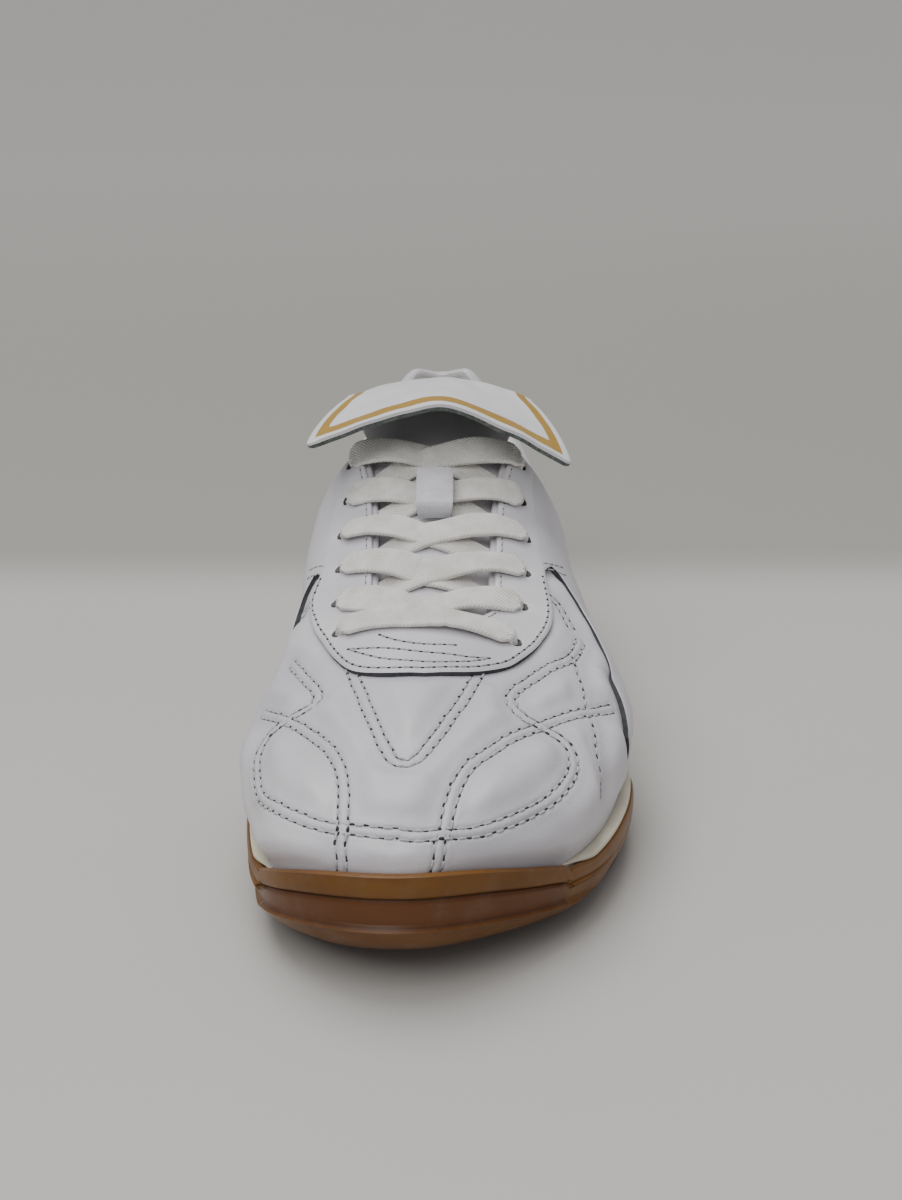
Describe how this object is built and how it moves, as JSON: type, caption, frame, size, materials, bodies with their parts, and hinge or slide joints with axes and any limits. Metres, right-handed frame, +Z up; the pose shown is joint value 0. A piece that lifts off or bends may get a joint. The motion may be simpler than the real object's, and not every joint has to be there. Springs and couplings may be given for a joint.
{
  "type": "indoor soccer shoe",
  "caption": "Low left-foot indoor soccer shoe with a gum outsole and toe bumper, foam midsole, stitched leather upper, fold-over tongue and crossed flat laces.",
  "frame": {"origin": "middle of the sole's box, on the ground plane", "axes": "+Z up, toe towards -Y, the lateral side of the left foot towards +X"},
  "size_m": [0.111, 0.2928, 0.1084],
  "materials": {
    "white_leather": "smooth full-grain leather, satin coat",
    "gum_rubber": "translucent amber gum rubber, satin",
    "midsole_foam": "moulded foam with a fine skin",
    "lining_fabric": "woven lining",
    "lace_cotton": "flat tubular weave"
  },
  "bodies": {
    "root": {"outsole": "gum_rubber", "midsole": "midsole_foam", "insole": "lining_fabric", "upper": "white_leather", "quarter": "white_leather", "eyestay": "white_leather", "tongue": "white_leather", "lace_keeper": "lining_fabric", "lace_bar": "lace_cotton", "lace_cross_1": "lace_cotton", "lace_cross_2": "lace_cotton", "lace_cross_3": "lace_cotton", "lace_cross_4": "lace_cotton", "lace_cross_5": "lace_cotton"}
  },
  "joints": []
}
